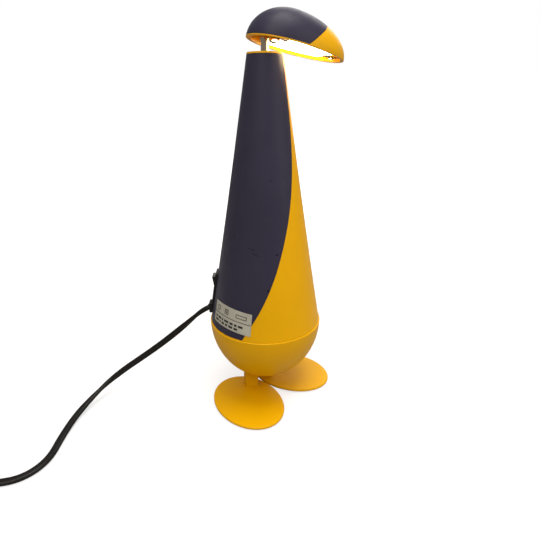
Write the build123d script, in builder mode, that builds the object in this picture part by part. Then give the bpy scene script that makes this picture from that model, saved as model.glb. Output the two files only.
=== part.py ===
"""Penguin-shaped table lamp: egg-shaped head on a neck, conical body, round base on two feet.

Millimetres, +Z up. The lamp stands on z = 0. The body faces +X, its back centreline faces -X.
"""
from build123d import *
import os
from math import cos, degrees, hypot, pi, radians, sin, sqrt, tan

os.makedirs("parts", exist_ok=True)

# ---- Place of the lamp's upright axis in the part's frame, and the rest pose ----
LAMP_X, LAMP_Y = -6.6, 6.7
BASE_HEADING = -41.4          # the feet point this way, degrees from +X
HEAD_HEADING = 26.0           # the beak points this way, degrees from +X
HEAD_TILT = 11.7              # the beak dips this far below level

# ---- Base ----
BASE_R = 49.1                 # rim of the bowl
BASE_RIM_Z = 74.8
BASE_DEPTH = 55.4
BASE_WALL = 2.4
RIM_CHAMFER = 0.4             # outer edge of the rim
FOOT_LONG, FOOT_WIDE = 38.4, 28.9      # half-axes of a foot
FOOT_CENTRE = (6.5, 30.2)     # forward and sideways of the lamp's axis
FOOT_SPLAY = 15.0
FOOT_Z, FOOT_EDGE, FOOT_CROWN = 1.0, 2.4, 4.0   # underside, edge height, crown height
LEG_AT = (-8.1, 11.2)
LEG_SIZE = 12.0
LEG_SCREW_R = 1.7
PAD_R, PAD_THICK, PAD_RECESS = 6.5, 1.5, 0.5
PAD_SPOTS = [(26, 0), (-26, -3), (0, -17)]      # along and across a foot

# ---- Body ----
BODY_R, BODY_Z = 48.2, 75.1
TOP_R, TOP_Z = 13.5, 293.6
HOLLOW = 0.6                  # the side curves in by this much at half height
BODY_WALL = 2.8
COVER_WALL = 1.3
COVER_FIT = 0.1               # gap under the back cover
COVER_MARGIN = (0.3, 1.3)     # yellow left showing below and above the back cover
SPLIT = [(60, 121), (75, 113), (95, 99), (114, 86.5), (133, 75.5), (160, 61), (187, 47),
         (214, 34.5), (240, 24.5), (266, 18), (300, 13.5)]     # height, half-angle of the front
SPLIT_GAP = 0.25

# ---- Swivel between base and body ----
PLATE_Z, PLATE_THICK, PLATE_R = 70.5, 2.8, 45.7
FLOOR_Z, FLOOR_THICK, FLOOR_R = 76.0, 3.0, 44.5
BOLT_R = 4.0
PLATE_SCREW_AT = 39.0
FLOOR_SCREW_AT = 38.5
SELF_TAP_R = 1.25
SCREW_HEAD_R, SCREW_HEAD_DEPTH = 2.65, 1.4

# ---- Neck ----
NECK_R, NECK_BORE = 3.0, 2.0
NECK_BOTTOM, NECK_TOP = 262.0, 304.5
BUSH_R, BUSH_FLANGE_R = 7.0, 9.4
RUN = 0.05                    # radial clearance of a running fit
HINGE_Z = 311.0
PIN_R = 1.5
EYE_R, EYE_HALF = 3.6, 2.4

# ---- Head, measured from the hinge along its own axes ----
HEAD_U, HEAD_W = 21.2, -8.7   # widest section's centre, in the plane of the rim
HEAD_REAR, HEAD_FRONT, HEAD_R = 33.0, 49.8, 26.0
HEAD_WALL = 3.0
HEAD_BEAD = 0.6               # yellow bead under the navy cover
BEAK_U = 24.6                 # where the cover ends at the rim, forward of the hinge
BEAK_SLANT = 46.9             # lean of that edge from square to the rim
BULKHEAD_U, BULKHEAD_THICK = 9.0, 3.0
GLASS_LIFT, GLASS_THICK = 2.4, 2.0
GLASS_END = 57.2
BOSS_U, BOSS_R = 61.5, 4.0
CHEEK_AT = 3.1                # inner faces of the bracket's cheeks
BRACKET_SCREWS = (8, -8)
CLIP_SCREWS = [(BOSS_U, 0), (BULKHEAD_U, 9), (BULKHEAD_U, -9)]
CLIP_SCREW_R = 0.9
REFLECTOR_R = 11.5
BULB_UP, BULB_R, BULB_LONG = 2.5, 4.6, 17.0
BULB_FOOT_R, BULB_WALL = 3.3, 0.7

# ---- Switch ----
SWITCH_Z = 104.0
BEZEL = (14.0, 29.0)
SWITCH_BODY = (12.2, 27.0)
SWITCH_DEEP = 18.0
ROCKER = (9.2, 23.2)
ROCKER_PIVOT = -0.5           # the rocker's hinge, from the body's surface
ROCKER_TILT = 11.0

# ---- Lead ----
CORD_R = 2.5
EXIT_Z = 84.4
RELIEF_SIZE, RELIEF_PROUD = (9.0, 9.6), 3.4      # across and up
RELIEF_NECK, NECK_FIT = 6.4, 0.2                # square neck through the wall
NOZZLE_R = 2.9
CORD_ROUTE = [
    (-56.8, 6.7, 83.4),
    (-62.3, 6.6, 80.9),
    (-69.2, 6.4, 75.3),
    (-77.1, 6.2, 67.8),
    (-92.4, 5.2, 54.7),
    (-107.6, 3.7, 43.0),
    (-122.8, 1.2, 32.7),
    (-137.9, -2.3, 23.1),
    (-151.9, -8.3, 13.6),
    (-161.7, -23.3, 8.2),
    (-168.9, -42.3, 4.5),
    (-171.6, -64.0, 2.6),
    (-170.8, -90.6, 2.6),
    (-183.1, -106.4, 2.6),
    (-204.0, -111.2, 2.6),
    (-229.5, -116.2, 2.6),
    (-254.5, -119.8, 2.6),
]
COIL_AT = (-268.6, -84.1)
COIL_MEAN_R = 33.0
COIL_SECTION = (13.0, 16.6)   # across and up
COIL_Z = 1.0
PLUG_AT, PLUG_Z = (-305.0, -7.0), 7.0
PLUG_SIZE = (35.0, 36.0, 14.0)      # across, along, up
SLEEVE, PIN_APART, PIN_LONG = 24.5, 18.6, 19.0

# ---- Label ----
LABEL_Z, LABEL_HEADING = 90.8, -129.8
LABEL_SIZE = (41.6, 18.6)


# ---- Planes and profiles shared by the pieces ----
AXIS_POINT = (LAMP_X, LAMP_Y, 0)
LAMP_AXIS = Axis(AXIS_POINT, (0, 0, 1))
SIDE = Plane(origin=AXIS_POINT, x_dir=(1, 0, 0), z_dir=(0, -1, 0))
BOWL = Plane(origin=(LAMP_X, LAMP_Y, BASE_RIM_Z), x_dir=(0, 0, -1), z_dir=(0, -1, 0))


def level(z, heading=0.0):
    """A level plane on the lamp's axis at height z, turned to a heading."""
    turn = radians(heading)
    return Plane(origin=(LAMP_X, LAMP_Y, z), x_dir=(cos(turn), sin(turn), 0), z_dir=(0, 0, 1))


def upright(heading):
    """An upright plane through the lamp's axis: x outwards along the heading, y up."""
    turn = radians(heading)
    return Plane(origin=AXIS_POINT, x_dir=(cos(turn), sin(turn), 0),
                 z_dir=(sin(turn), -cos(turn), 0))


def turned(plane, angle):
    """The plane turned about its own normal, in degrees."""
    turn = radians(angle)
    return Plane(plane.origin, plane.x_dir * cos(turn) + plane.y_dir * sin(turn), plane.z_dir)


def body_radius(z):
    """Outer radius of the body at height z: a circular arc that sags inwards from a straight line."""
    run, rise = BODY_R - TOP_R, TOP_Z - BODY_Z
    chord = hypot(run, rise)
    arc_r = (chord ** 2 / 4 + HOLLOW ** 2) / (2 * HOLLOW)
    along = (z - BODY_Z) / rise * chord - chord / 2
    sag = sqrt(arc_r ** 2 - along ** 2) - (arc_r - HOLLOW)
    return BODY_R - run * (z - BODY_Z) / rise - sag * chord / rise


def body_profile(inset, low=BODY_Z, high=TOP_Z):
    """Half section of the body, inset from its outside, between two heights."""
    middle = (low + high) / 2
    with BuildLine() as line:
        side = ThreePointArc(
            (body_radius(low) - inset, low),
            (body_radius(middle) - inset, middle),
            (body_radius(high) - inset, high))
        Polyline(side @ 1, (0, high), (0, low), side @ 0)
    return line.line


def solid_body(inset, low=BODY_Z, high=TOP_Z):
    with BuildPart() as cone:
        with BuildSketch(SIDE):
            make_face(body_profile(inset, low, high).edges())
        revolve(axis=LAMP_AXIS)
    return cone.part


def solid_bowl(inset):
    with BuildPart() as bowl:
        with BuildSketch(BOWL):
            with BuildLine():
                quarter = EllipticalCenterArc(
                    (0, 0), BASE_DEPTH - inset, BASE_R - inset, 0, arc_size=90)
                Polyline(quarter @ 1, (0, 0), quarter @ 0)
            make_face()
        revolve(axis=LAMP_AXIS)
    return bowl.part


def screw(plane, head_r, head_deep, shank_r, length, countersunk=True):
    """A screw with the top of its head on the plane and its shank along the plane's -z."""
    with BuildPart() as made:
        with BuildSketch(Plane(plane.origin, plane.x_dir, plane.x_dir.cross(plane.z_dir))) as half:
            side = [(head_r, 0)] if countersunk else [(head_r, 0), (head_r, -head_deep)]
            with BuildLine():
                Polyline((0, 0), *side, (shank_r, -head_deep),
                         (shank_r, -length + shank_r), (0, -length), (0, 0))
            make_face()
        revolve(axis=Axis(plane.origin, plane.z_dir))
    return made.part


def ring_of(count, start=0.0):
    return [start + 360.0 / count * i for i in range(count)]


def spot(radius, heading, z):
    """A point at a radius and heading from the lamp's axis."""
    turn = radians(heading)
    return (LAMP_X + radius * cos(turn), LAMP_Y + radius * sin(turn), z)


def save(piece, name):
    piece.part.label = name
    export_step(piece.part, f"parts/{name}.step")


BASE_Z0 = level(0, BASE_HEADING)

# ================= Base =================
PLATE_SCREWS = ring_of(3, BASE_HEADING + 60)

with BuildPart() as base_bowl:
    for heading in PLATE_SCREWS:
        with BuildSketch(Plane(spot(PLATE_SCREW_AT, heading, 38))):
            Circle(3.6)
        extrude(amount=PLATE_Z - 38)
    with BuildSketch(BASE_Z0.offset(15)):
        with Locations((LEG_AT[0], LEG_AT[1]), (LEG_AT[0], -LEG_AT[1])):
            Circle(5)
    extrude(amount=17)
    with BuildSketch(BASE_Z0.offset(15)):
        Circle(7.5)
    extrude(amount=19)
    add(solid_bowl(0.2), mode=Mode.INTERSECT)
    with BuildSketch(BOWL):
        with BuildLine():
            outer = EllipticalCenterArc((0, 0), BASE_DEPTH, BASE_R, 0, arc_size=90)
            inner = EllipticalCenterArc(
                (0, 0), BASE_DEPTH - BASE_WALL, BASE_R - BASE_WALL, 0, arc_size=90)
            Line(outer @ 1, inner @ 1)
            Line(outer @ 0, inner @ 0)
        make_face()
    revolve(axis=LAMP_AXIS)
    rim_edge = base_bowl.edges().filter_by(GeomType.CIRCLE).sort_by(SortBy.RADIUS)[-1]
    chamfer(rim_edge, RIM_CHAMFER)
    with Locations([Plane(spot(PLATE_SCREW_AT, heading, PLATE_Z)) for heading in PLATE_SCREWS]):
        Hole(SELF_TAP_R + RUN, 12.5)
    with BuildSketch(BASE_Z0.offset(15)):
        with Locations((LEG_AT[0], LEG_AT[1]), (LEG_AT[0], -LEG_AT[1])):
            Circle(LEG_SCREW_R + RUN)
    extrude(amount=15.5, mode=Mode.SUBTRACT)
    with Locations(level(34)):
        Hole(2.5 + RUN, 10)
save(base_bowl, "base_bowl")


def foot_blank():
    """Domed foot plate with a rounded edge, round in plan, then narrowed to its width."""
    with BuildPart() as plate:
        with BuildSketch(Plane.XZ):
            with BuildLine():
                under = Line((0, FOOT_Z), (FOOT_LONG - 0.9, FOOT_Z))
                lower = TangentArc(under @ 1, (FOOT_LONG, FOOT_Z + 1.0), tangent=(1, 0))
                side = Line(lower @ 1, (FOOT_LONG, FOOT_Z + FOOT_EDGE - 1.1))
                upper = TangentArc(side @ 1, (FOOT_LONG - 1.2, FOOT_Z + FOOT_EDGE), tangent=(0, 1))
                dome = ThreePointArc(
                    upper @ 1,
                    (FOOT_LONG * 0.52, FOOT_Z + FOOT_EDGE + (FOOT_CROWN - FOOT_EDGE) * 0.76),
                    (0, FOOT_Z + FOOT_CROWN))
                Line(dome @ 1, under @ 0)
            make_face()
        revolve(axis=Axis.Z)
    return scale(plate.part, by=(1, FOOT_WIDE / FOOT_LONG, 1))


def leg_plane(side, z):
    """Level plane at a leg, x pointing away from the lamp's axis."""
    centre = BASE_Z0.from_local_coords(Vector(LEG_AT[0], side * LEG_AT[1], z))
    return Plane(centre, (centre.X - LAMP_X, centre.Y - LAMP_Y, 0), (0, 0, 1))


def foot_plane(side):
    centre = BASE_Z0.from_local_coords(Vector(FOOT_CENTRE[0], side * FOOT_CENTRE[1], 0))
    turn = radians(BASE_HEADING + side * FOOT_SPLAY)
    return Plane(centre, (cos(turn), sin(turn), 0), (0, 0, 1))


FEET = {"left_foot": 1, "right_foot": -1}
for foot_name, side in FEET.items():
    blank = foot_plane(side) * foot_blank()
    with BuildPart() as foot:
        with BuildSketch(leg_plane(side, FOOT_Z + 1.5)):
            RectangleRounded(LEG_SIZE, LEG_SIZE, 1.2)
        extrude(amount=24)
        add(solid_bowl(-RUN), mode=Mode.SUBTRACT)
        add(blank)
        with BuildSketch(foot_plane(side).offset(FOOT_Z)):
            with Locations([(along, -across * side) for along, across in PAD_SPOTS]):
                Circle(PAD_R + 0.1)
        extrude(amount=PAD_RECESS, mode=Mode.SUBTRACT)
        with BuildSketch(leg_plane(side, FOOT_Z)):
            Circle(3.6)
        extrude(amount=4.5, mode=Mode.SUBTRACT)
        with BuildSketch(leg_plane(side, FOOT_Z)):
            Circle(LEG_SCREW_R + RUN)
        extrude(amount=26, mode=Mode.SUBTRACT)
    save(foot, foot_name)

with BuildPart() as foot_screws:
    for side in FEET.values():
        under = leg_plane(side, 2.6)
        add(screw(Plane(under.origin, under.x_dir, -under.z_dir), 3.3, 2.9, LEG_SCREW_R, 27, False))
save(foot_screws, "foot_screws")

with BuildPart() as foot_pads:
    for side in FEET.values():
        with BuildSketch(foot_plane(side)):
            with Locations([(along, -across * side) for along, across in PAD_SPOTS]):
                Circle(PAD_R)
        extrude(amount=PAD_THICK)
save(foot_pads, "foot_pads")

with BuildPart() as ballast_weight:
    with BuildSketch(level(34)):
        Circle(28)
        Circle(2.5 + 0.3, mode=Mode.SUBTRACT)
    extrude(amount=12)
    chamfer(ballast_weight.edges().filter_by(GeomType.CIRCLE).sort_by(SortBy.RADIUS)[-2:], 1.0)
save(ballast_weight, "ballast_weight")

with BuildPart() as ballast_screw:
    add(screw(level(49.0), 5.0, 3.0, 2.5, 24, False))
save(ballast_screw, "ballast_screw")

with BuildPart() as swivel_plate:
    with BuildSketch(level(PLATE_Z)):
        Circle(PLATE_R)
        Circle(BOLT_R + RUN, mode=Mode.SUBTRACT)
    extrude(amount=PLATE_THICK)
    with Locations([Plane(spot(PLATE_SCREW_AT, heading, PLATE_Z + PLATE_THICK))
                    for heading in PLATE_SCREWS]):
        CounterSinkHole(SELF_TAP_R + 0.2, SCREW_HEAD_R + 0.2, PLATE_THICK, 90)
save(swivel_plate, "swivel_plate")

with BuildPart() as plate_screws:
    for heading in PLATE_SCREWS:
        add(screw(Plane(spot(PLATE_SCREW_AT, heading, PLATE_Z + PLATE_THICK - 0.15)),
                  SCREW_HEAD_R, SCREW_HEAD_DEPTH, SELF_TAP_R, 13))
save(plate_screws, "plate_screws")

WASHER_TOP = FLOOR_Z - 0.1
with BuildPart() as thrust_washer:
    with BuildSketch(level(PLATE_Z + PLATE_THICK)):
        Circle(22)
        Circle(9, mode=Mode.SUBTRACT)
    extrude(amount=WASHER_TOP - PLATE_Z - PLATE_THICK)
save(thrust_washer, "thrust_washer")

with BuildPart() as swivel_bolt:
    with BuildSketch(level(PLATE_Z - 5.3)):
        RegularPolygon(6.5, 6, major_radius=False)
    extrude(amount=5.3)
    with BuildSketch(level(PLATE_Z)):
        Circle(BOLT_R)
    extrude(amount=18)
    chamfer(swivel_bolt.faces().sort_by(Axis.Z)[-1].edges(), 0.6)
save(swivel_bolt, "swivel_bolt")

FLOOR_TOP = FLOOR_Z + FLOOR_THICK
with BuildPart() as spring_washer:
    with BuildSketch(level(FLOOR_TOP + 0.1)):
        Circle(8)
        Circle(BOLT_R + RUN, mode=Mode.SUBTRACT)
    extrude(amount=1.5)
save(spring_washer, "spring_washer")

with BuildPart() as swivel_nut:
    with BuildSketch(level(FLOOR_TOP + 1.6)):
        RegularPolygon(6.5, 6, major_radius=False)
        Circle(BOLT_R + RUN, mode=Mode.SUBTRACT)
    extrude(amount=6)
save(swivel_nut, "swivel_nut")

# ================= Body =================
FLOOR_SCREWS = ring_of(3)
SLOPE = radians(90) - radians(81)      # lean of the body's side at its lower back
SWITCH_ORIGIN = (LAMP_X - body_radius(SWITCH_Z), LAMP_Y, SWITCH_Z)
SWITCH = Plane(SWITCH_ORIGIN, (0, -1, 0), (-cos(SLOPE), 0, sin(SLOPE)))
RELIEF = Plane((LAMP_X - body_radius(EXIT_Z), LAMP_Y, EXIT_Z), (0, -1, 0), (-1, 0, 0))

CORD_START = Plane(CORD_ROUTE[0], (0, 1, 0),
                   Vector(*CORD_ROUTE[1]) - Vector(*CORD_ROUTE[0]))


def front_sector(extra, reach=75.0):
    """The wedge of space that the yellow front fills, its half-angle following SPLIT."""
    with BuildPart() as wedge:
        for height, half_angle in SPLIT:
            turn = radians(half_angle) + extra / body_radius(max(height, BODY_Z))
            corner = (reach * cos(turn), reach * sin(turn))
            with BuildSketch(level(height)):
                with BuildLine():
                    Polyline((0, 0), corner, (reach * 1.5, reach * 1.5),
                             (reach * 1.5, -reach * 1.5), (corner[0], -corner[1]), (0, 0))
                make_face()
        loft()
    return wedge.part


COVER_LOW, COVER_HIGH = BODY_Z + COVER_MARGIN[0], TOP_Z - COVER_MARGIN[1]
front = front_sector(0)
front_wide = front_sector(SPLIT_GAP)

with BuildPart() as body_shell:
    for heading in FLOOR_SCREWS:
        with BuildSketch(level(FLOOR_TOP + RUN, heading)):
            with Locations((FLOOR_SCREW_AT, 0)):
                Circle(4)
            with Locations((FLOOR_SCREW_AT + 5, 0)):
                Rectangle(10, 6)
        extrude(amount=13)
    add(solid_body(0.5), mode=Mode.INTERSECT)
    add(solid_body(0) - solid_body(BODY_WALL, BODY_Z, TOP_Z - 3))
    add(solid_body(-5, COVER_LOW - 0.1, COVER_HIGH + 0.1)
        - solid_body(COVER_WALL + COVER_FIT, COVER_LOW - 0.1, COVER_HIGH + 0.1)
        - front, mode=Mode.SUBTRACT)
    with Locations(level(TOP_Z)):
        Hole(BUSH_R + RUN, 6)
    with BuildSketch(SWITCH.offset(-15)):
        Rectangle(SWITCH_BODY[0] + 0.4, SWITCH_BODY[1] + 0.4)
    extrude(amount=20, mode=Mode.SUBTRACT)
    with BuildSketch(RELIEF.offset(-12)):
        Rectangle(RELIEF_NECK + 2 * NECK_FIT, RELIEF_NECK + 2 * NECK_FIT)
    extrude(amount=20, mode=Mode.SUBTRACT)
    with Locations([Plane(spot(FLOOR_SCREW_AT, heading, FLOOR_TOP), (1, 0, 0), (0, 0, -1))
                    for heading in FLOOR_SCREWS]):
        Hole(SELF_TAP_R + RUN, 12)
save(body_shell, "body_shell")

with BuildPart() as back_cover:
    add(solid_body(0, COVER_LOW, COVER_HIGH) - solid_body(COVER_WALL, COVER_LOW, COVER_HIGH)
        - front_wide)
    with BuildSketch(SWITCH.offset(-15)):
        Rectangle(SWITCH_BODY[0] + 0.4, SWITCH_BODY[1] + 0.4)
    extrude(amount=20, mode=Mode.SUBTRACT)
    with BuildSketch(RELIEF.offset(-12)):
        Rectangle(RELIEF_NECK + 2 * NECK_FIT, RELIEF_NECK + 2 * NECK_FIT)
    extrude(amount=20, mode=Mode.SUBTRACT)
save(back_cover, "back_cover")

with BuildPart() as body_floor:
    with BuildSketch(level(FLOOR_Z)):
        Circle(FLOOR_R)
        Circle(BOLT_R + RUN, mode=Mode.SUBTRACT)
    extrude(amount=FLOOR_THICK)
    with Locations([Plane(spot(FLOOR_SCREW_AT, heading, FLOOR_Z), (1, 0, 0), (0, 0, -1))
                    for heading in FLOOR_SCREWS]):
        CounterSinkHole(SELF_TAP_R + 0.2, SCREW_HEAD_R + 0.2, FLOOR_THICK, 90)
    with Locations(level(FLOOR_TOP)):
        with Locations((9, 31), (9, -31)):
            Hole(SELF_TAP_R + RUN, FLOOR_THICK)
save(body_floor, "body_floor")

with BuildPart() as floor_screws:
    for heading in FLOOR_SCREWS:
        add(screw(Plane(spot(FLOOR_SCREW_AT, heading, FLOOR_Z + 0.15), (1, 0, 0), (0, 0, -1)),
                  SCREW_HEAD_R, SCREW_HEAD_DEPTH, SELF_TAP_R, 13.5))
save(floor_screws, "floor_screws")

BUSH_TOP = TOP_Z - 0.2
with BuildPart() as neck_bush:
    with BuildSketch(level(TOP_Z - 5)):
        Circle(BUSH_FLANGE_R)
    extrude(amount=2)
    with BuildSketch(level(TOP_Z - 5)):
        Circle(BUSH_R)
    extrude(amount=BUSH_TOP - TOP_Z + 5)
    with BuildSketch(level(TOP_Z - 14)):
        Circle(5.5)
    extrude(amount=9)
    with Locations(level(TOP_Z)):
        Hole(NECK_R + RUN, 20)
save(neck_bush, "neck_bush")

CORE_X, CORE_Z = 9.0, 92.0
with BuildPart() as transformer_core:
    with BuildSketch(level(CORE_Z)):
        with Locations((CORE_X, 0)):
            Rectangle(16, 42)
    extrude(amount=35)
    with BuildSketch(Plane((LAMP_X + CORE_X, LAMP_Y, CORE_Z + 17.5), (0, 1, 0), (1, 0, 0))):
        with Locations((10.5, 0), (-10.5, 0)):
            Rectangle(7, 21)
    extrude(amount=20, both=True, mode=Mode.SUBTRACT)
save(transformer_core, "transformer_core")

with BuildPart() as transformer_winding:
    with BuildSketch(level(CORE_Z + 7.2)):
        with Locations((CORE_X, 0)):
            RectangleRounded(34, 27.6, 3)
            Rectangle(16.4, 14.4, mode=Mode.SUBTRACT)
    extrude(amount=20.6)
save(transformer_winding, "transformer_winding")

with BuildPart() as transformer_bracket:
    with BuildSketch(Plane((LAMP_X + CORE_X, LAMP_Y, 0), (0, 1, 0), (1, 0, 0))):
        with BuildLine():
            Polyline((-36, FLOOR_TOP), (-25, FLOOR_TOP), (-25, CORE_Z - 2), (25, CORE_Z - 2),
                     (25, FLOOR_TOP), (36, FLOOR_TOP), (36, FLOOR_TOP + 2), (27, FLOOR_TOP + 2),
                     (27, CORE_Z), (-27, CORE_Z), (-27, FLOOR_TOP + 2), (-36, FLOOR_TOP + 2),
                     close=True)
        make_face()
    extrude(amount=7, both=True)
    with Locations(level(FLOOR_TOP + 2)):
        with Locations((CORE_X, 31), (CORE_X, -31)):
            Hole(SELF_TAP_R + 0.2, 4)
save(transformer_bracket, "transformer_bracket")

with BuildPart() as transformer_screws:
    for across in (31, -31):
        top = Plane((LAMP_X + CORE_X, LAMP_Y + across, FLOOR_TOP + 4.2))
        add(screw(top, 2.6, 2.2, SELF_TAP_R, 6.6, False))
save(transformer_screws, "transformer_screws")

BLOCK_AT = (-23.0, 21.0)
with BuildPart() as terminal_block:
    with BuildSketch(level(FLOOR_TOP)):
        with Locations(BLOCK_AT):
            RectangleRounded(14, 14, 1)
    extrude(amount=12)
    with Locations(level(FLOOR_TOP + 12)):
        with Locations(BLOCK_AT):
            with GridLocations(7, 7, 2, 2):
                Hole(1.8, 6)
save(terminal_block, "terminal_block")

with BuildPart() as terminal_screws:
    with BuildSketch(level(FLOOR_TOP + 6)):
        with Locations(BLOCK_AT):
            with GridLocations(7, 7, 2, 2):
                Circle(1.7)
    extrude(amount=4)
save(terminal_screws, "terminal_screws")


def wire(points, radius, bend):
    """A round wire along a line with equal bends, its points measured from the lamp's axis."""
    placed = [(LAMP_X + x, LAMP_Y + y, z) for x, y, z in points]
    with BuildPart() as lead:
        with BuildLine() as path:
            FilletPolyline(*placed, radius=bend)
        with BuildSketch(Plane(path.line @ 0, z_dir=path.line % 0)):
            Circle(radius)
        sweep()
    return lead.part


with BuildPart() as mains_lead:
    add(wire([(-38.2, 0, EXIT_Z), (-23, 0, EXIT_Z), (-23, 13.9, EXIT_Z)], 1.9, 6))
save(mains_lead, "mains_lead")

with BuildPart() as lamp_lead:
    add(wire([(22, 0, 120), (22, 0, 150), (1, 0, 215), (0, 0, NECK_BOTTOM - 0.2)], 1.6, 30))
save(lamp_lead, "lamp_lead")

# ================= Switch =================
with BuildPart() as switch_housing:
    with BuildSketch(SWITCH.offset(-1.2)):
        RectangleRounded(BEZEL[0], BEZEL[1], 1.5)
    extrude(amount=2.9)
    fillet(switch_housing.faces().sort_by(Axis(SWITCH_ORIGIN, SWITCH.z_dir))[-1].edges(), 0.6)
    add(solid_body(-0.03), mode=Mode.SUBTRACT)
    with BuildSketch(SWITCH.offset(-SWITCH_DEEP)):
        Rectangle(*SWITCH_BODY)
    extrude(amount=SWITCH_DEEP + 1.0)
    with BuildSketch(SWITCH.offset(-8)):
        Rectangle(ROCKER[0] + 0.5, ROCKER[1] + 1.4)
    extrude(amount=12, mode=Mode.SUBTRACT)
    with BuildSketch(Plane(SWITCH.from_local_coords(Vector(0, 0, ROCKER_PIVOT)),
                           SWITCH.y_dir, SWITCH.x_dir)):
        Circle(1 + RUN)
    extrude(amount=ROCKER[0] / 2 + 1.0, both=True, mode=Mode.SUBTRACT)
save(switch_housing, "switch_housing")

ROCKER_PLANE = turned(Plane(SWITCH.from_local_coords(Vector(0, 0, ROCKER_PIVOT)),
                            SWITCH.y_dir, SWITCH.x_dir), ROCKER_TILT)
half = ROCKER[1] / 2
with BuildPart() as switch_rocker:
    with BuildSketch(ROCKER_PLANE):
        with BuildLine():
            Polyline((half, 3.0), (0, 1.6), (-half, 3.0), (-half + 2.4, -4.5),
                     (half - 2.4, -4.5), close=True)
        make_face()
    extrude(amount=ROCKER[0] / 2, both=True)
    sides = switch_rocker.edges().filter_by(Axis(ROCKER_PLANE.origin, ROCKER_PLANE.z_dir))
    fillet(sides.sort_by(Axis(SWITCH.origin, SWITCH.z_dir))[-1], 0.8)
    with BuildSketch(ROCKER_PLANE):
        Circle(1)
    extrude(amount=ROCKER[0] / 2 + 0.9, both=True)
save(switch_rocker, "switch_rocker")

with BuildPart() as switch_terminals:
    with BuildSketch(SWITCH.offset(-SWITCH_DEEP - 7)):
        with Locations((0, 7), (0, -3)):
            Rectangle(4.8, 0.8)
    extrude(amount=7)
save(switch_terminals, "switch_terminals")

with BuildPart() as switch_leads:
    add(wire([(-17.0, 0, 106.9), (-12.5, 0, 107.5), (-14, 17.5, 104.5), (-19.5, 17.5, 91.2)], 1.2, 2.5))
save(switch_leads, "switch_leads")

with BuildPart() as strain_relief:
    with BuildSketch(RELIEF.offset(-1)):
        RectangleRounded(*RELIEF_SIZE, 1.0)
    extrude(amount=1 + RELIEF_PROUD)
    chamfer(strain_relief.faces().sort_by(Axis.X)[0].edges(), 0.6)
    with BuildSketch(CORD_START):
        Circle(NOZZLE_R)
    extrude(amount=-6)
    add(solid_body(-0.03, BODY_Z, TOP_Z / 2), mode=Mode.SUBTRACT)
    with BuildSketch(RELIEF.offset(-8)):
        Rectangle(RELIEF_NECK, RELIEF_NECK)
    extrude(amount=10)
save(strain_relief, "strain_relief")

LABEL_LOW, LABEL_HIGH = LABEL_Z - LABEL_SIZE[1] / 2, LABEL_Z + LABEL_SIZE[1] / 2
LABEL_ARC = degrees(LABEL_SIZE[0] / body_radius(LABEL_Z))
with BuildPart() as rating_label:
    with BuildSketch(upright(LABEL_HEADING - LABEL_ARC / 2)):
        Polygon(*[(body_radius(z) + out, z) for z, out in
                  ((LABEL_LOW, 0.1), (LABEL_HIGH, 0.1), (LABEL_HIGH, 0.4), (LABEL_LOW, 0.4))],
                align=None)
    revolve(axis=LAMP_AXIS, revolution_arc=LABEL_ARC)
save(rating_label, "rating_label")

# ================= Neck =================
HINGE_TURN = radians(HEAD_HEADING)
TILT = radians(HEAD_TILT)
FORWARD = Vector(cos(HINGE_TURN) * cos(TILT), sin(HINGE_TURN) * cos(TILT), -sin(TILT))
UPWARD = Vector(cos(HINGE_TURN) * sin(TILT), sin(HINGE_TURN) * sin(TILT), cos(TILT))
HEAD = Plane((LAMP_X, LAMP_Y, HINGE_Z), FORWARD, UPWARD)
ACROSS = HEAD.y_dir
PIN = Plane(HEAD.origin, level(0, HEAD_HEADING).x_dir, -ACROSS)     # x forward, y up

with BuildPart() as neck_tube:
    with BuildSketch(level(NECK_BOTTOM)):
        Circle(NECK_R)
        Circle(NECK_BORE, mode=Mode.SUBTRACT)
    extrude(amount=NECK_TOP - NECK_BOTTOM)
save(neck_tube, "neck_tube")

with BuildPart() as neck_lead:
    with BuildSketch(level(NECK_BOTTOM)):
        Circle(1.6)
    extrude(amount=NECK_TOP - NECK_BOTTOM)
save(neck_lead, "neck_lead")

with BuildPart() as neck_clip:
    with BuildSketch(level(TOP_Z - 15.2)):
        Circle(5.2)
        Circle(NECK_R, mode=Mode.SUBTRACT)
        with Locations((4, 0)):
            Rectangle(4, 2.4, mode=Mode.SUBTRACT)
    extrude(amount=1.0)
save(neck_clip, "neck_clip")

with BuildPart() as neck_eye:
    with BuildSketch(level(NECK_TOP - 1.8, HEAD_HEADING)):
        Circle(3.9)
    extrude(amount=2.4)
    with BuildSketch(level(NECK_TOP + 0.2, HEAD_HEADING)):
        Rectangle(6.4, 2 * EYE_HALF)
    extrude(amount=HINGE_Z - NECK_TOP - 0.2)
    with BuildSketch(PIN):
        Circle(EYE_R)
    extrude(amount=EYE_HALF, both=True)
    with BuildSketch(level(NECK_TOP - 3)):
        Circle(NECK_R)
    extrude(amount=3, mode=Mode.SUBTRACT)
    with BuildSketch(PIN):
        Circle(PIN_R + RUN)
    extrude(amount=2 * EYE_HALF, both=True, mode=Mode.SUBTRACT)
save(neck_eye, "neck_eye")

# ================= Head =================
RIM = HEAD.offset(HEAD_W)
NOSE = Plane(HEAD.from_local_coords(Vector(HEAD_U, 0, HEAD_W)), FORWARD, -ACROSS)
NOSE_AXIS = Axis(NOSE.origin, FORWARD)
BEAK = Plane(HEAD.from_local_coords(Vector(BEAK_U, 0, HEAD_W)), ACROSS,
             FORWARD * cos(radians(BEAK_SLANT)) - UPWARD * sin(radians(BEAK_SLANT)))


def at_head(forward, across, up):
    return HEAD.from_local_coords(Vector(forward, across, up))


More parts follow.
